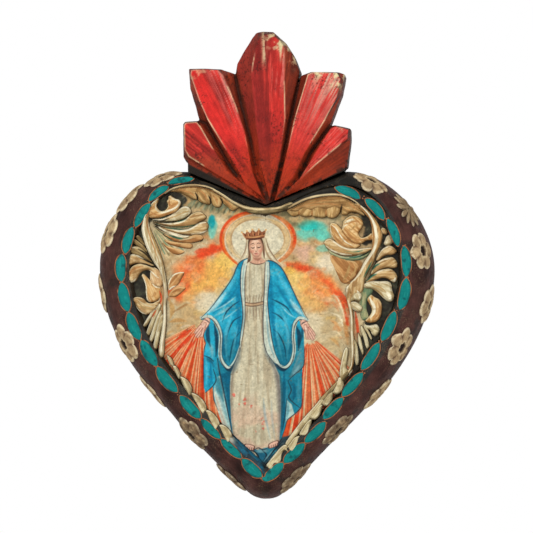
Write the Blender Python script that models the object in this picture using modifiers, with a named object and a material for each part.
"""Carved wooden heart with a flame crown, painted, to hang on a wall by a ring at the back.

Metres, +Z up. The back lies in the plane y = 0 and the front faces -Y. The origin is on the back face, on
the centre line, level with the heart's widest place.
"""
import math

import bmesh
import bpy
import numpy as np
from mathutils import Matrix, Vector

# Clearance between pieces that rest on each other
GAP = 0.0003

# Heart block, outline
HEART_WIDTH = 0.235
TIP_DROP = 0.161          # widest level down to the tip
LOBE_RISE = 0.0695        # widest level up to the tops of the lobes
LOBE_SPACING = 0.112      # between the tops of the lobes
TIP_RADIUS = 0.017
FLANK_SLOPE = 46.0        # degrees from level
FLANK_REACH = 0.0735      # centre line out to where the straight flank starts to curve
SEAT_FLOOR = 0.0455       # bottom of the crown's seat above the widest level
FLANK_PULL = 0.62         # how far the curves reach into their corners
LOBE_PULL = 0.5

# Heart block, section: insets run from the outline inwards
BODY_DEPTH = 0.052
SIDE_ROUND = 0.030        # depth of the rounded side
BACK_EASE = 0.002
RIM_WIDTH = 0.0085
RIM_WIDTH_TOP = 0.005
RIM_WIDTH_SEAT = 0.0035
BAND_TIP = 0.0170         # outline to the middle of the rim
BAND_FLANK = 0.0142
BAND_SIDE = 0.0180
BAND_TOP = 0.0080
BAND_SEAT = 0.0033
RECESS_DEPTH = 0.0055
RECESS_DRAFT = 0.0010     # how far the recess wall leans in
RECESS_BOW = 0.0040       # how far the recess top bows up between the lobe and the middle

# Where along the half outline the flank's band width holds, from 0 at the tip to 1 at the lobe's top
FLANK_SHARE = 0.22

# Picture print on the recess floor
PRINT_THICKNESS = 0.0006
PRINT_MARGIN = 0.0012

# Flame crown
CROWN_FRONT = 0.055       # from the back plane to the middle tongue's front
CROWN_BACK = 0.019
TONGUE_STEP = 0.0013      # each outer tongue's front lies this much further back
TONGUE_SLOPE = 0.0075     # depth of the sloping faces round a tongue's front
FACE_WIDTH = 0.56         # a tongue's front face as a share of its outline
FACE_LENGTH = 0.93
LEFT_STEP = 0.25          # left tongues lie this share of a step further back than the right ones

# The tongues' outlines, out from the centre line and up from the bottom of the seat, in the crown's unit
CROWN_UNIT = 0.001
MIDDLE_TONGUE = [(0, -4), (10, 22), (20, 62), (24.3, 90), (22.2, 97.5), (17.2, 107.8), (11.6, 115.5),
                 (6, 120), (-4.6, 120.5), (-8, 116.5), (-13.7, 108.5), (-18.6, 99.5), (-21.4, 91.7),
                 (-19, 62), (-11.5, 22)]
INNER_TONGUE = [(4, -4), (18.5, 13), (36.8, 37.2), (45.9, 57.3), (50.8, 70), (54.3, 80.5), (54.9, 87.5),
                (53, 92), (42, 93.1), (32, 92.9), (25.5, 90.5), (20, 70), (15.5, 50), (8, 18)]
OUTER_TONGUE = [(4, -6), (56, 19), (58.3, 29), (59.2, 38), (59, 48), (58.5, 55.5), (53.5, 57.5), (46.5, 57),
                (37, 40), (23, 20)]

# Dowels between crown and block, square to the seat
DOWEL_DIAMETER = 0.008
DOWEL_LENGTH = 0.034
DOWEL_OFFSET = 0.030      # along the seat's face from its bottom

# Leaf scrolls: the drawing's unit, and each lobe as points (in from the rim, down from the recess top),
# half-widths and height, all in that unit
LEAF_UNIT = 0.001
LEFT_LEAF = [
    ("stem", [(19, 9), (11, 18), (9, 27), (10, 36), (14, 46), (20, 56), (24, 66), (25, 80), (25.5, 98),
              (23, 117)],
     [1.6, 2.6, 3.2, 3.3, 3.2, 3.0, 2.6, 2.2, 2.2, 1.7], 5.6),
    ("curl", [(12, 23), (22, 21), (30, 19), (34, 15), (33.5, 10.5), (29, 8.5)],
     [1.5, 2.2, 2.2, 2.0, 1.6, 1.4], 5.0),
    ("fan_1", [(11, 25), (28, 22.5), (41, 18.5)], [1.2, 2.4, 3.2], 4.4),
    ("fan_2", [(11, 27), (32, 26), (50, 21.5)], [1.2, 2.2, 3.0], 4.2),
    ("fan_3", [(11, 28.5), (33, 31), (52, 28.5)], [1.2, 2.2, 2.8], 4.0),
    ("fan_4", [(11, 30.5), (31, 36), (50, 36)], [1.2, 2.2, 2.6], 3.8),
    ("fan_5", [(11.5, 33), (28, 40.5), (44, 42.5)], [1.2, 2.2, 2.4], 3.5),
    ("fan_6", [(12.5, 37), (25, 46), (36, 49)], [1.2, 2.2, 2.2], 3.2),
    ("lobe_1", [(12, 40), (8, 37), (4.5, 35.5)], [1.0, 1.2, 1.4], 3.4),
    ("lobe_2", [(13, 43), (7, 40.5), (3, 39.5)], [1.0, 1.4, 1.6], 3.6),
    ("lobe_3", [(18, 51), (9, 46), (2.5, 45.5)], [1.6, 2.6, 3.0], 4.4),
    ("lobe_4", [(19, 54.5), (9, 52), (2.5, 53.5)], [1.6, 2.8, 3.4], 4.6),
    ("lobe_5", [(21, 57.5), (11, 58), (4.5, 63)], [1.6, 2.8, 3.8], 4.8),
    ("cup", [(23, 64), (15, 67), (12.5, 73), (16, 80), (24, 82)], [2.0, 3.0, 3.0, 2.4, 1.6], 4.0),
    ("lobe_6", [(25, 80), (13, 85), (5, 79.5)], [2.4, 4.0, 1.4], 4.2),
    ("finger_1", [(25, 84), (17, 91), (11, 98.5)], [1.0, 1.2, 1.4], 3.6),
    ("finger_2", [(25, 87), (18, 96), (13.5, 104)], [1.0, 1.2, 1.4], 3.8),
    ("finger_3", [(25.5, 90), (20, 101), (16, 109)], [1.0, 1.2, 1.4], 4.0),
    ("finger_4", [(25.5, 94), (22, 106), (19, 114)], [1.0, 1.2, 1.4], 4.2),
]
RIGHT_LEAF = [
    ("stem", [(30, 11), (24, 18), (19.5, 27), (18, 36), (21, 46), (27, 56), (33, 66), (37, 77), (35.5, 90),
              (35, 105), (35, 118), (37.5, 129)],
     [1.6, 2.4, 3.2, 3.4, 3.2, 3.0, 2.8, 2.4, 2.0, 1.8, 1.8, 2.6], 5.6),
    ("curl", [(21, 38), (29, 36), (36, 33), (38, 26.5), (33.5, 21.5), (29.5, 24)],
     [1.6, 2.8, 3.2, 3.0, 2.6, 2.0], 5.0),
    ("fan_1", [(20, 39), (34, 40), (43, 36), (48, 30)], [1.4, 2.8, 3.0, 2.4], 4.4),
    ("fan_2", [(21, 42), (36, 45.5), (50, 41)], [1.4, 2.8, 3.2], 4.2),
    ("fan_3", [(23, 46), (37, 51), (47, 49)], [1.4, 2.6, 2.4], 3.8),
    ("lobe_1", [(18, 36), (14.5, 33.5), (12.5, 32)], [1.0, 1.2, 1.8], 3.4),
    ("lobe_2", [(19, 42), (13, 40), (10, 38.5)], [1.0, 1.6, 2.6], 4.0),
    ("lobe_3", [(22, 50), (14, 47), (8, 46)], [1.4, 2.2, 2.8], 4.4),
    ("lobe_4", [(25, 57), (15, 52.5), (7.5, 53.5)], [1.4, 2.4, 3.0], 4.6),
    ("lobe_5", [(30, 63), (16, 59.5), (8, 61), (6, 65.5)], [1.4, 2.4, 2.8, 1.8], 4.6),
    ("lobe_6", [(32.5, 66.5), (18, 69), (11, 75.5)], [1.6, 3.4, 3.6], 4.6),
    ("knob", [(36, 72), (31, 75.5), (29, 80)], [1.8, 3.2, 3.0], 4.6),
    ("hook", [(36, 82.5), (25, 79), (18.5, 83), (18, 89.5), (23, 93.5), (29, 93)],
     [1.6, 2.4, 3.2, 3.2, 2.4, 1.2], 4.8),
    ("lobe_7", [(36, 90), (27, 97), (19, 101)], [1.2, 1.6, 2.8], 4.0),
    ("finger_1", [(36, 95), (28, 102), (23, 108)], [1.0, 1.2, 1.4], 3.6),
    ("finger_2", [(36, 99), (30, 107), (26, 113)], [1.0, 1.2, 1.4], 3.8),
    ("finger_3", [(36, 104), (32, 112), (29.5, 118)], [1.0, 1.2, 1.4], 4.0),
]
MOUND_STEPS = 2           # sections between two points of a mound's spine
MOUND_BURY = 0.0020       # how far a mound's foot reaches below its seat before it is trimmed
MOUND_BURY_STEP = 0.02    # each further lobe of a leaf reaches deeper by this share
SHOULDER_WIDTH = 0.74     # a mound's section: its shoulders, as shares of half-width and height
SHOULDER_RISE = 0.68
END_REACH = 0.70          # a mound's rounded far end, as shares of the half-width and height there
END_WIDTH = 0.45
END_RISE = 0.55
LEAST_WIDTH = 0.5         # a mound stays wider than this share of its narrowest given half-width

# Gold moulding under the recess top
MOULDING_REACH = 0.060    # from the centre line
MOULDING_MIDDLE = 0.0020  # half the gap at the centre line
MOULDING_WIDTH = 0.0070
MOULDING_HEIGHT = 0.0052
MOULDING_POINTS = 7

# Leaf tips along the lower edges of the picture
EDGE_LEAF_COUNT = 6
EDGE_LEAF_WIDTH = 0.0062
EDGE_LEAF_HEIGHT = 0.0044
EDGE_LEAF_SPACE = 0.0016  # between neighbours
EDGE_LEAF_INSET = 0.0046  # recess edge to the leaf's spine
EDGE_LEAF_TILT = 0.0018   # the spine's top end lies this much further in than its foot
EDGE_LEAF_FOOT = 0.016    # first leaf's foot above the recess tip, along the edge
EDGE_LEAF_HEAD = 0.007    # last leaf's head below the scroll leaf's lowest finger
EDGE_LEAF_TAPER = (0.42, 0.50, 0.16)    # half-widths at head, middle and foot, as shares of the width

# Paste flowers on the rounded side: place along the half outline and angle round the side, from the wall
FLOWER_RADIUS = 0.0142
FLOWER_HEART = 0.0026     # radius of the open middle
FLOWER_NOTCH = 0.34       # depth of the gaps between petals, as a share of the radius
FLOWER_THICKNESS = 0.0020
FLOWER_PETALS = 6
FLOWER_POINTS = 24
FLOWER_PLUMPNESS = 0.6    # lower is rounder petals with sharper gaps
FLOWER_BLANK = 0.6        # how far the blank reaches to either side of the skin, as a share of the radius
LEFT_FLOWERS = [(0.945, 54.0), (0.851, 32.0), (0.758, 40.0), (0.616, 12.0), (0.487, 56.0), (0.363, 14.0),
                (0.228, 50.0), (0.098, 14.0)]
RIGHT_FLOWERS = [(0.935, 71.0), (0.825, 52.0), (0.718, 62.0), (0.590, 24.0), (0.475, 64.0), (0.353, 18.0),
                 (0.234, 52.0), (0.086, 28.0)]

# Hanger in a pocket in the back
HINGE_HEIGHT = 0.0225     # ring's bar above the widest level
RING_WIRE = 0.0024
RING_WIDTH = 0.0156       # between wire middles
RING_REACH = 0.0150       # bar's middle to the bow's middle
RING_CORNER = 0.0024
STRAP_WIDTH = 0.0090
STRAP_WALL = 0.0009
STRAP_LENGTH = 0.0118     # below the bar's middle
SCREW_DROP = 0.0072       # screw below the bar's middle
SCREW_SHANK = 0.0028
SCREW_HEAD = 0.0052
SCREW_HEAD_HEIGHT = 0.0015
SCREW_LENGTH = 0.0150
SCREW_CROWN = (0.60, 0.85)    # a point on the head's dome, as shares of its radius and height
SCREW_EDGE = 0.30         # the head's straight edge, as a share of its height
POCKET_DEPTH = 0.0080
POCKET_MARGIN = 0.0025

# Facets
SIDE_POINTS = 27          # along each side of the outline
SEAT_POINTS = 7           # along each face of the seat
ROUND_STEPS = 5           # round the side
WIRE_RESOLUTION = 2
CYLINDER_SIDES = 20
CUT_OVERRUN = 0.004       # how far a cutter runs past what it cuts
DENSE = 60                # samples in each stretch of the outline
BOW_SHAPE = 1.727         # makes the bow's highest place one bow high
SHARP_ANGLE = 35.0        # degrees, edges sharper than this stay crisp
WELD = 0.00002
FRAME_STEP = 0.002        # share and angle step that the side's directions are measured over

WOOD_BROWN = (0.060, 0.030, 0.027)
FLAME_RED = (0.470, 0.052, 0.036)
PRINT_CREAM = (0.640, 0.520, 0.330)
LEAF_CREAM = (0.620, 0.490, 0.270)
MOULDING_OCHRE = (0.420, 0.250, 0.090)
PASTE_BEIGE = (0.380, 0.270, 0.160)
RAW_WOOD = (0.520, 0.360, 0.200)
STEEL = (0.560, 0.540, 0.500)


for old in list(bpy.data.objects):
    bpy.data.objects.remove(old, do_unlink=True)
PARTS = bpy.data.collections.new("painted_wooden_heart")
CUTTERS = bpy.data.collections.new("cutters")
bpy.context.scene.collection.children.link(PARTS)
bpy.context.scene.collection.children.link(CUTTERS)


def material(name, colour, roughness, metallic=0.0):
    made = bpy.data.materials.new(name)
    made.use_nodes = True
    shader = made.node_tree.nodes["Principled BSDF"]
    shader.inputs["Base Color"].default_value = (*colour, 1.0)
    shader.inputs["Roughness"].default_value = roughness
    shader.inputs["Metallic"].default_value = metallic
    made.diffuse_color = (*colour, 1.0)
    return made


def as_part(obj, finish):
    PARTS.objects.link(obj)
    obj.data.materials.clear()
    obj.data.materials.append(finish)
    obj.data.shade_smooth()
    obj.data.set_sharp_from_angle(angle=math.radians(SHARP_ANGLE))
    return obj


def as_cutter(obj):
    CUTTERS.objects.link(obj)
    obj.hide_render = True
    obj.display_type = "WIRE"
    return obj


def from_bmesh(name, bm):
    bmesh.ops.recalc_face_normals(bm, faces=bm.faces)
    mesh = bpy.data.meshes.new(name)
    bm.to_mesh(mesh)
    bm.free()
    return bpy.data.objects.new(name, mesh)


def combine(obj, other, operation, solver="EXACT"):
    step = obj.modifiers.new(f"{operation.lower()} {other.name}", "BOOLEAN")
    step.operation = operation
    step.object = other
    step.solver = solver


def loft(name, sections):
    """A closed body through sections of as many points each, capped at both ends."""
    bm = bmesh.new()
    rows = [[bm.verts.new(point) for point in section] for section in sections]
    for low, high in zip(rows, rows[1:]):
        for i in range(len(low)):
            j = (i + 1) % len(low)
            bm.faces.new((low[i], low[j], high[j], high[i]))
    bm.faces.new(rows[0])
    bm.faces.new(rows[-1])
    return from_bmesh(name, bm)


def plate(name, outlines, y_back, y_front):
    """Outlines in x and z, filled and given thickness between two depths. Inner outlines are holes."""
    curve = bpy.data.curves.new(name, "CURVE")
    curve.dimensions = "2D"
    curve.fill_mode = "BOTH"
    curve.extrude = abs(y_front - y_back) / 2
    for outline in outlines:
        spline = curve.splines.new("POLY")
        spline.points.add(len(outline) - 1)
        for point, (x, z) in zip(spline.points, outline):
            point.co = (x, z, 0.0, 1.0)
        spline.use_cyclic_u = True
    stand = Matrix.Translation((0, (y_back + y_front) / 2, 0)) @ Matrix.Rotation(math.radians(90), 4, "X")
    return curve_mesh(name, curve, stand)


def curve_mesh(name, curve, matrix):
    """The curve as a mesh with its caps welded on, its points moved by the matrix."""
    obj = bpy.data.objects.new(name, curve)
    bpy.context.scene.collection.objects.link(obj)
    seen = obj.evaluated_get(bpy.context.evaluated_depsgraph_get())
    mesh = bpy.data.meshes.new_from_object(seen)
    bpy.data.objects.remove(obj, do_unlink=True)
    bm = bmesh.new()
    bm.from_mesh(mesh)
    bmesh.ops.remove_doubles(bm, verts=bm.verts, dist=WELD)
    bm.transform(matrix)
    bpy.data.meshes.remove(mesh)
    return from_bmesh(name, bm)


def cylinder(name, diameter, start, end):
    """A round bar from one point to another."""
    start = Vector(start)
    end = Vector(end)
    bm = bmesh.new()
    turn = (end - start).to_track_quat("Z", "Y").to_matrix().to_4x4()
    place = Matrix.Translation((start + end) / 2) @ turn
    bmesh.ops.create_cone(bm, cap_ends=True, segments=CYLINDER_SIDES, radius1=diameter / 2,
                          radius2=diameter / 2, depth=(end - start).length, matrix=place)
    return from_bmesh(name, bm)


def box(name, low, high):
    low = Vector(low)
    high = Vector(high)
    bm = bmesh.new()
    size = Matrix.Diagonal((*(high - low), 1.0))
    bmesh.ops.create_cube(bm, size=1.0, matrix=Matrix.Translation((low + high) / 2) @ size)
    return from_bmesh(name, bm)


# Heart outline

LOBE_X = LOBE_SPACING / 2
SEAT_SLOPE = math.atan2(LOBE_RISE - SEAT_FLOOR, LOBE_X)


def corner_curve(start, corner, end, pull):
    """A cubic from start to end that leaves and arrives along the lines to the corner."""
    start, corner, end = (np.array(p, float) for p in (start, corner, end))
    near = start + pull * (corner - start)
    far = end + pull * (corner - end)
    t = np.linspace(0, 1, DENSE)[:, None]
    return (1 - t) ** 3 * start + 3 * (1 - t) ** 2 * t * near + 3 * (1 - t) * t ** 2 * far + t ** 3 * end


def half_outline():
    """Points (x, z) up the right half, from the tip to the lobe's top, and the row of the widest place."""
    half = HEART_WIDTH / 2
    slope = math.radians(FLANK_SLOPE)
    angles = np.linspace(0, slope, DENSE)
    tip = np.column_stack((TIP_RADIUS * np.sin(angles), TIP_RADIUS * (1 - np.cos(angles)) - TIP_DROP))
    run = FLANK_REACH - tip[-1, 0]
    flank_end = tip[-1] + (run, run * math.tan(slope))
    flank = tip[-1] + np.linspace(0, 1, DENSE)[1:, None] * (flank_end - tip[-1])
    corner = (half, flank_end[1] + (half - FLANK_REACH) * math.tan(slope))
    side = corner_curve(flank_end, corner, (half, 0), FLANK_PULL)[1:]
    lobe = corner_curve((half, 0), (half, LOBE_RISE), (LOBE_X, LOBE_RISE), LOBE_PULL)[1:]
    return np.vstack((tip, flank, side, lobe)), len(tip) + len(flank) + len(side) - 1


def arc_shares(points):
    steps = np.linalg.norm(np.diff(points, axis=0), axis=1)
    lengths = np.concatenate(([0.0], np.cumsum(steps)))
    return lengths / lengths[-1], lengths[-1]


OUTLINE, WIDEST_ROW = half_outline()
SHARES, OUTLINE_LENGTH = arc_shares(OUTLINE)
WIDEST_SHARE = SHARES[WIDEST_ROW]
TANGENTS = np.gradient(OUTLINE, axis=0)
TANGENTS /= np.linalg.norm(TANGENTS, axis=1)[:, None]
TANGENTS[0] = (1, 0)
TANGENTS[-1] = (-1, 0)
INWARD = np.column_stack((-TANGENTS[:, 1], TANGENTS[:, 0]))


def band(extra=0.0, rims=0.0):
    """Insets at tip, flank, side, top and seat, and the top's bow: the rim's middle, moved inwards."""
    wide = RIM_WIDTH * rims + extra
    return (BAND_TIP + wide, BAND_FLANK + wide, BAND_SIDE + wide, BAND_TOP + RIM_WIDTH_TOP * rims + extra,
            BAND_SEAT + RIM_WIDTH_SEAT * rims + extra, RECESS_BOW * (rims + 0.5))


FRONT_EDGE = band(rims=-0.5)


def level(value):
    return (value,) * 5 + (0.0,)


def inset_along(insets):
    """The inset at every point of the dense outline, easing from station to station."""
    stations = (0.0, FLANK_SHARE, WIDEST_SHARE, 1.0)
    result = np.zeros(len(SHARES))
    for i in range(3):
        here = (SHARES >= stations[i]) & (SHARES <= stations[i + 1])
        t = (SHARES[here] - stations[i]) / (stations[i + 1] - stations[i])
        ease = t * t * (3 - 2 * t)
        result[here] = insets[i] + (insets[i + 1] - insets[i]) * ease
    return result


def half_ring(insets):
    """The right half of the outline moved inwards: the side from tip to lobe, then the seat's face."""
    moved = OUTLINE + INWARD * inset_along(insets)[:, None]
    behind = np.nonzero(moved[:, 0] < 0)[0]
    if len(behind):
        last = behind[-1]
        share = -moved[last, 0] / (moved[last + 1, 0] - moved[last, 0])
        crossing = moved[last] + share * (moved[last + 1] - moved[last])
        moved = np.vstack((crossing, moved[last + 1:]))
    corner = np.array((LOBE_X + insets[3] * math.tan(SEAT_SLOPE / 2), LOBE_RISE - insets[3]))
    kept = (moved[:, 1] < 0) | (moved[:, 0] > corner[0])
    moved = np.vstack((moved[kept], corner))
    shares, _ = arc_shares(moved)
    wanted = np.linspace(0, 1, SIDE_POINTS)
    side = np.column_stack([np.interp(wanted, shares, moved[:, k]) for k in range(2)])
    side[0, 0] = 0.0
    floor = np.array((0.0, SEAT_FLOOR - insets[4] / math.cos(SEAT_SLOPE)))
    t = np.linspace(0, 1, SEAT_POINTS)[1:]
    seat = corner + t[:, None] * (floor - corner)
    seat[:, 1] += insets[5] * BOW_SHAPE * np.sin(math.pi * t) * (1 - t)
    return np.vstack((side, seat))


def ring(insets):
    """The whole outline moved inwards, as (x, z) points once round."""
    right = half_ring(insets)
    left = right[-2:0:-1] * (-1, 1)
    return np.vstack((right, left))


def at_depth(outline, depth):
    return [(x, -depth, z) for x, z in outline]


def side_profile(grow=0.0):
    """Insets and depths round the side, from the wall to the front edge, moved outwards by some amount."""
    rows = []
    for step in range(ROUND_STEPS + 1):
        angle = math.radians(90) * step / ROUND_STEPS
        insets = tuple(edge * (1 - math.cos(angle)) - grow for edge in FRONT_EDGE[:5]) + (0.0,)
        rows.append((insets, BODY_DEPTH - SIDE_ROUND + (SIDE_ROUND + grow) * math.sin(angle)))
    return rows


def heart_skin(name, grow):
    """The block's outside moved outwards by some amount, without its recess."""
    sections = [at_depth(ring(level(-grow)), -grow)]
    sections += [at_depth(ring(insets), depth) for insets, depth in side_profile(grow)]
    return as_cutter(loft(name, sections))


def recess_space(name, floor_depth, clearance):
    """The room inside the recess, in front of some depth and clear of its wall."""
    wall = ring(band(rims=0.5, extra=clearance + RECESS_DRAFT))
    return as_cutter(loft(name, [at_depth(wall, floor_depth), at_depth(wall, BODY_DEPTH + RECESS_DEPTH)]))


FLOOR_DEPTH = BODY_DEPTH - RECESS_DEPTH
PRINT_FRONT = FLOOR_DEPTH + GAP + PRINT_THICKNESS
RELIEF_SEAT = PRINT_FRONT + GAP


def heart_body(finish):
    sections = [at_depth(ring(level(BACK_EASE)), 0.0), at_depth(ring(level(0.0)), BACK_EASE)]
    sections += [at_depth(ring(insets), depth) for insets, depth in side_profile()]
    sections.append(at_depth(ring(band(rims=0.5)), BODY_DEPTH))
    sections.append(at_depth(ring(band(rims=0.5, extra=RECESS_DRAFT)), FLOOR_DEPTH))
    body = as_part(loft("heart_body", sections), finish)
    for cutter in (*dowel_bars("socket", GAP), hanger_pocket(), screw_hole("heart_screw_hole")):
        combine(body, cutter, "DIFFERENCE")


def picture_print(finish):
    edge = ring(band(rims=0.5, extra=RECESS_DRAFT + PRINT_MARGIN))
    as_part(loft("picture_print", [at_depth(edge, FLOOR_DEPTH + GAP), at_depth(edge, PRINT_FRONT)]), finish)


# Flame crown and its dowels

def tongue(name, outline, front, mirrored):
    """A carved tongue: a prism that slopes in all round to a narrower front face along its axis."""
    side = -1 if mirrored else 1
    edge = np.array([(side * x * CROWN_UNIT, SEAT_FLOOR + z * CROWN_UNIT) for x, z in outline])
    middle = edge.mean(axis=0)
    axis = (middle - edge[0]) / np.linalg.norm(middle - edge[0])
    across = np.array((-axis[1], axis[0]))
    from_middle = edge - middle
    lengthwise = np.outer(from_middle @ axis, axis) * FACE_LENGTH
    crosswise = np.outer(from_middle @ across, across) * FACE_WIDTH
    face = middle + lengthwise + crosswise
    back = CROWN_BACK + CROWN_FRONT - front
    return loft(name, [at_depth(edge, back), at_depth(edge, front - TONGUE_SLOPE), at_depth(face, front)])


def seat_wedge():
    """All that lies below the seat's two faces, with the clearance on top."""
    lift = GAP / math.cos(SEAT_SLOPE)
    far = HEART_WIDTH
    rise = far * math.tan(SEAT_SLOPE)
    outline = [(0, SEAT_FLOOR + lift), (far, SEAT_FLOOR + lift + rise), (far, -far), (-far, -far),
               (-far, SEAT_FLOOR + lift + rise)]
    return as_cutter(plate("seat_wedge", [outline], CUT_OVERRUN, -CROWN_FRONT - CUT_OVERRUN))


def dowel_bars(name, clearance):
    """The two dowels, or with a clearance the holes that take them."""
    depth = -(CROWN_FRONT - TONGUE_SLOPE + CROWN_BACK) / 2
    bars = []
    for side, word in ((-1, "left"), (1, "right")):
        along = Vector((side * math.cos(SEAT_SLOPE), 0, math.sin(SEAT_SLOPE)))
        out = Vector((-side * math.sin(SEAT_SLOPE), 0, math.cos(SEAT_SLOPE)))
        middle = Vector((0, depth, SEAT_FLOOR)) + along * DOWEL_OFFSET
        reach = out * (DOWEL_LENGTH / 2 + clearance)
        bar = cylinder(f"{name}_{word}", DOWEL_DIAMETER + 2 * clearance, middle - reach, middle + reach)
        bars.append(as_cutter(bar) if clearance else bar)
    return bars


def flame_crown(finish, dowel_finish):
    crown = as_part(tongue("flame_crown", MIDDLE_TONGUE, CROWN_FRONT, False), finish)
    for rank, outline in enumerate((INNER_TONGUE, OUTER_TONGUE), start=1):
        for mirrored in (True, False):
            front = CROWN_FRONT - TONGUE_STEP * (rank + LEFT_STEP * mirrored)
            word = "left" if mirrored else "right"
            other = as_cutter(tongue(f"tongue_{word}_{rank}", outline, front, mirrored))
            combine(crown, other, "UNION")
    for cutter in (seat_wedge(), *dowel_bars("crown_hole", GAP)):
        combine(crown, cutter, "DIFFERENCE")
    for dowel in dowel_bars("crown_dowel", 0.0):
        as_part(dowel, dowel_finish)


# Reliefs in the recess

def smooth_path(points, values):
    """Points through the given ones on a Catmull-Rom curve, with the values eased alike."""
    knots = np.column_stack((np.array(points, float), np.array(values, float)))
    knots = np.vstack((2 * knots[0] - knots[1], knots, 2 * knots[-1] - knots[-2]))
    rows = []
    for a, b, c, d in zip(knots, knots[1:], knots[2:], knots[3:]):
        for t in np.arange(MOUND_STEPS) / MOUND_STEPS:
            rows.append(0.5 * (2 * b + (c - a) * t + (2 * a - 5 * b + 4 * c - d) * t ** 2
                               + (3 * b - a - 3 * c + d) * t ** 3))
    rows.append(knots[-2])
    path = np.array(rows)
    return path[:, :2], np.maximum(path[:, 2], LEAST_WIDTH * min(values))


def mound(name, points, widths, height, bury):
    """A raised ridge along a spine in the front plane, rounded across and at its far end."""
    spine, half_widths = smooth_path(points, widths)
    along = np.gradient(spine, axis=0)
    along /= np.linalg.norm(along, axis=1)[:, None]
    heights = np.full(len(spine), height)
    end = spine[-1] + along[-1] * half_widths[-1] * END_REACH
    spine = np.vstack((spine, end))
    along = np.vstack((along, along[-1]))
    half_widths = np.append(half_widths, half_widths[-1] * END_WIDTH)
    heights = np.append(heights, height * END_RISE)
    across = np.column_stack((-along[:, 1], along[:, 0]))
    sections = []
    for place, side, width, rise in zip(spine, across, half_widths, heights):
        shoulder = SHOULDER_RISE * rise
        shape = ((-1, -bury), (-SHOULDER_WIDTH, shoulder), (0, rise), (SHOULDER_WIDTH, shoulder), (1, -bury))
        row = [place + side * width * share for share, _ in shape]
        sections.append([(x, -RELIEF_SEAT - up, z) for (x, z), (_, up) in zip(row, shape)])
    return loft(name, sections)


def leaf_point(side, inward, drop):
    """A place in the leaf drawing: in from the rim at the widest level, down from the recess top."""
    rim_x = HEART_WIDTH / 2 - band(rims=0.5)[2]
    top_z = LOBE_RISE - band(rims=0.5)[3]
    return side * (rim_x - inward * LEAF_UNIT), top_z - drop * LEAF_UNIT


def scroll_leaf(name, side, lobes, space, finish):
    made = []
    for rank, (word, points, widths, height) in enumerate(lobes):
        places = [leaf_point(side, *point) for point in points]
        bury = MOUND_BURY * (1 + MOUND_BURY_STEP * rank)
        made.append(mound(f"{name}_{word}", places, np.array(widths) * LEAF_UNIT, height * LEAF_UNIT, bury))
    leaf = as_part(made[0], finish)
    leaf.name = name
    for lobe in made[1:]:
        combine(leaf, as_cutter(lobe), "UNION", "MANIFOLD")
    combine(leaf, space, "INTERSECT", "MANIFOLD")


def top_moulding(name, side, space, finish):
    """The cove's gold ridge, along the recess top from the lobe to the middle."""
    edge = half_ring(band(rims=0.5, extra=MOULDING_WIDTH / 2 + RECESS_DRAFT + GAP))
    top = edge[SIDE_POINTS - SEAT_POINTS:]
    order = np.argsort(top[:, 0])
    xs = np.linspace(MOULDING_REACH, MOULDING_MIDDLE + MOULDING_WIDTH / 2, MOULDING_POINTS)
    points = [(side * x, np.interp(x, top[order, 0], top[order, 1])) for x in xs]
    widths = [MOULDING_WIDTH / 2] * MOULDING_POINTS
    strip = as_part(mound(name, points, widths, MOULDING_HEIGHT, MOUND_BURY), finish)
    combine(strip, space, "INTERSECT", "MANIFOLD")


def edge_leaves(side_word, side, space, finish):
    """A row of leaf tips down the recess edge, each pointing to the tip of the heart."""
    edge = half_ring(band(rims=0.5, extra=EDGE_LEAF_INSET))[:SIDE_POINTS]
    inner = half_ring(band(rims=0.5, extra=EDGE_LEAF_INSET + EDGE_LEAF_TILT))[:SIDE_POINTS]
    lobes = LEFT_LEAF if side < 0 else RIGHT_LEAF
    lowest = max(drop for _, points, _, _ in lobes for _, drop in points)
    head_z = leaf_point(side, 0, lowest)[1] - EDGE_LEAF_HEAD
    shares, length = arc_shares(edge)
    rising = edge[:, 1] < 0
    head = np.interp(head_z, edge[rising, 1], shares[rising]) * length
    pitch = (head - EDGE_LEAF_FOOT) / EDGE_LEAF_COUNT
    for number in range(EDGE_LEAF_COUNT):
        foot = EDGE_LEAF_FOOT + pitch * number
        points = []
        for share, row in ((1.0, inner), (0.5, edge), (0.0, edge)):
            place = (foot + EDGE_LEAF_SPACE + share * (pitch - 2 * EDGE_LEAF_SPACE)) / length
            points.append((side * np.interp(place, shares, row[:, 0]), np.interp(place, shares, row[:, 1])))
        widths = np.array(EDGE_LEAF_TAPER) * EDGE_LEAF_WIDTH
        leaf = mound(f"{side_word}_edge_leaf_{number + 1}", points, widths, EDGE_LEAF_HEIGHT, MOUND_BURY)
        combine(as_part(leaf, finish), space, "INTERSECT", "MANIFOLD")


# Flowers on the side

def side_frame(share, angle, side):
    """A place on the rounded side, with its outward and upward-running directions."""
    def place(at, turn):
        insets = tuple(edge * (1 - math.cos(turn)) for edge in FRONT_EDGE)
        moved = OUTLINE + INWARD * inset_along(insets)[:, None]
        x, z = (np.interp(at, SHARES, moved[:, k]) for k in range(2))
        return Vector((side * x, -(BODY_DEPTH - SIDE_ROUND + SIDE_ROUND * math.sin(turn)), z))
    middle = place(share, angle)
    along = (place(share + FRAME_STEP, angle) - place(share - FRAME_STEP, angle)).normalized()
    round_side = (place(share, angle + FRAME_STEP) - place(share, angle - FRAME_STEP)).normalized()
    out = (along.cross(round_side) * -side).normalized()
    return middle, out, along


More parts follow.
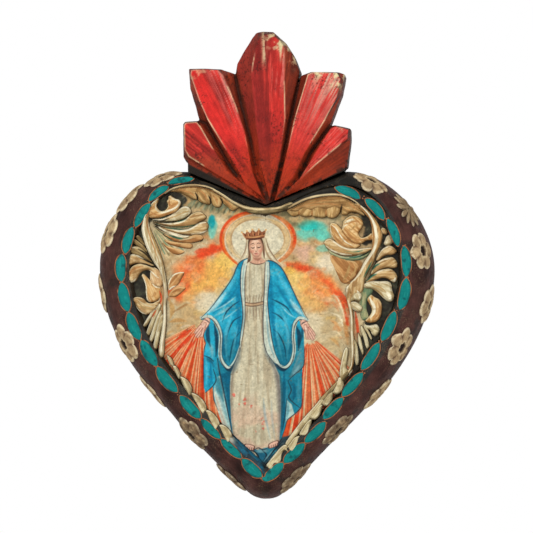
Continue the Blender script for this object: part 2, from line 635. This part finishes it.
def flower_prism(name, middle, out, along, long_way):
    """A petalled plate with an open middle, as a prism along the outward direction."""
    turns = np.arange(FLOWER_POINTS) * 2 * math.pi / FLOWER_POINTS
    gaps = np.abs(np.sin(turns * FLOWER_PETALS / 2)) ** FLOWER_PLUMPNESS
    radii = FLOWER_RADIUS * (1 - FLOWER_NOTCH + FLOWER_NOTCH * gaps)
    petals = np.column_stack((radii * np.cos(turns), radii * np.sin(turns)))
    inner = np.arange(0, FLOWER_POINTS, 2)
    heart = np.column_stack((FLOWER_HEART * np.cos(turns[inner]), FLOWER_HEART * np.sin(turns[inner])))
    prism = plate(name, [petals, heart], long_way, -long_way)
    across = out.cross(along)
    prism.data.transform(Matrix((across, -out, along)).transposed().to_4x4())
    prism.data.transform(Matrix.Translation(middle))
    return prism


def flowers(finish):
    under = heart_skin("flower_seat", GAP)
    over = heart_skin("flower_top", GAP + FLOWER_THICKNESS)
    for side, word, places in ((-1, "left", LEFT_FLOWERS), (1, "right", RIGHT_FLOWERS)):
        for number, (share, degrees) in enumerate(places, start=1):
            frame = side_frame(share, math.radians(degrees), side)
            flower = flower_prism(f"{word}_flower_{number}", *frame, FLOWER_RADIUS * FLOWER_BLANK)
            as_part(flower, finish)
            combine(flower, over, "INTERSECT")
            combine(flower, under, "DIFFERENCE")


# Hanger

POCKET_FLOOR = -POCKET_DEPTH
KNUCKLE_RADIUS = RING_WIRE / 2 + GAP + STRAP_WALL
BAR_Y = POCKET_FLOOR + GAP + KNUCKLE_RADIUS
STRAP_TOP_Y = POCKET_FLOOR + GAP + STRAP_WALL
SCREW_Z = HINGE_HEIGHT - SCREW_DROP


def hanger_pocket():
    half = RING_WIDTH / 2 + RING_WIRE / 2 + POCKET_MARGIN
    swing = RING_REACH + RING_WIRE / 2 + POCKET_MARGIN
    low = HINGE_HEIGHT - max(STRAP_LENGTH + POCKET_MARGIN, swing)
    high = HINGE_HEIGHT + swing
    return as_cutter(box("hanger_pocket", (-half, POCKET_FLOOR, low), (half, CUT_OVERRUN, high)))


def screw_hole(name):
    """The hole that the screw passes through, in the strap and in the pocket's floor."""
    deep = STRAP_TOP_Y - SCREW_LENGTH - 2 * GAP
    hole = cylinder(name, SCREW_SHANK + 2 * GAP, (0, STRAP_TOP_Y + CUT_OVERRUN, SCREW_Z), (0, deep, SCREW_Z))
    return as_cutter(hole)


def hanger_strap(finish):
    half = STRAP_WIDTH / 2
    flat = box("hanger_strap", (-half, POCKET_FLOOR + GAP, HINGE_HEIGHT - STRAP_LENGTH),
               (half, STRAP_TOP_Y, HINGE_HEIGHT))
    strap = as_part(flat, finish)
    ends = (-half, BAR_Y, HINGE_HEIGHT), (half, BAR_Y, HINGE_HEIGHT)
    combine(strap, as_cutter(cylinder("knuckle", 2 * KNUCKLE_RADIUS, *ends)), "UNION")
    reach = half + CUT_OVERRUN
    bore = cylinder("bore", RING_WIRE + 2 * GAP, (-reach, BAR_Y, HINGE_HEIGHT), (reach, BAR_Y, HINGE_HEIGHT))
    combine(strap, as_cutter(bore), "DIFFERENCE")
    combine(strap, screw_hole("strap_screw_hole"), "DIFFERENCE")


def arc(centre, radius, start, end, count):
    turns = np.radians(np.linspace(start, end, count))
    return [(centre[0] + radius * math.cos(t), centre[1] + radius * math.sin(t)) for t in turns]


def hanger_ring(finish):
    """A bent wire, its straight bar in the strap's knuckle and its bow standing up from it."""
    half = RING_WIDTH / 2
    low = half - RING_CORNER
    points = arc((low, RING_CORNER), RING_CORNER, -90, 0, 4)
    points += arc((0, RING_REACH - half), half, 0, 180, 11)
    points += arc((-low, RING_CORNER), RING_CORNER, 180, 270, 4)
    curve = bpy.data.curves.new("hanger_ring", "CURVE")
    curve.dimensions = "3D"
    curve.bevel_depth = RING_WIRE / 2
    curve.bevel_resolution = WIRE_RESOLUTION
    spline = curve.splines.new("POLY")
    spline.points.add(len(points) - 1)
    for point, (x, z) in zip(spline.points, points):
        point.co = (x, 0, z, 1.0)
    spline.use_cyclic_u = True
    hinge = bpy.data.objects.new("hanger_hinge", None)
    PARTS.objects.link(hinge)
    hinge.location = (0, BAR_Y, HINGE_HEIGHT)
    wire = as_part(curve_mesh("hanger_ring", curve, Matrix.Identity(4)), finish)
    wire.parent = hinge


def hanger_screw(finish):
    """A domed head on a plain shank with a pointed end, turned about its own axis."""
    head = SCREW_HEAD / 2
    shank = SCREW_SHANK / 2
    length = SCREW_LENGTH - GAP
    dome = (head * SCREW_CROWN[0], SCREW_HEAD_HEIGHT * SCREW_CROWN[1])
    profile = [(0, SCREW_HEAD_HEIGHT), dome, (head, SCREW_HEAD_HEIGHT * SCREW_EDGE), (head, 0), (shank, 0),
               (shank, shank * 2 - length), (0, -length)]
    bm = bmesh.new()
    verts = [bm.verts.new((radius, 0, height)) for radius, height in profile]
    for a, b in zip(verts, verts[1:]):
        bm.edges.new((a, b))
    mesh = bpy.data.meshes.new("hanger_screw")
    bm.to_mesh(mesh)
    bm.free()
    screw = as_part(bpy.data.objects.new("hanger_screw", mesh), finish)
    screw.rotation_euler = (math.radians(-90), 0, 0)
    screw.location = (0, STRAP_TOP_Y + GAP, SCREW_Z)
    turn = screw.modifiers.new("turn", "SCREW")
    turn.steps = CYLINDER_SIDES
    turn.render_steps = CYLINDER_SIDES
    turn.use_merge_vertices = True
    turn.merge_threshold = WELD


def build():
    wood = material("painted wood", WOOD_BROWN, 0.55)
    heart_body(wood)
    flame_crown(material("red paint", FLAME_RED, 0.5), material("bare wood", RAW_WOOD, 0.7))
    picture_print(material("printed sheet", PRINT_CREAM, 0.6))
    cream = material("cream relief", LEAF_CREAM, 0.5)
    ochre = material("gold ochre", MOULDING_OCHRE, 0.5)
    space = recess_space("relief_space", RELIEF_SEAT, GAP)
    for side, word, lobes in ((-1, "left", LEFT_LEAF), (1, "right", RIGHT_LEAF)):
        scroll_leaf(f"{word}_scroll_leaf", side, lobes, space, cream)
        top_moulding(f"{word}_top_moulding", side, space, ochre)
        edge_leaves(word, side, space, cream)
    flowers(material("beige paste", PASTE_BEIGE, 0.65))
    steel = material("plated steel", STEEL, 0.35, 1.0)
    hanger_strap(steel)
    hanger_ring(steel)
    hanger_screw(steel)


build()
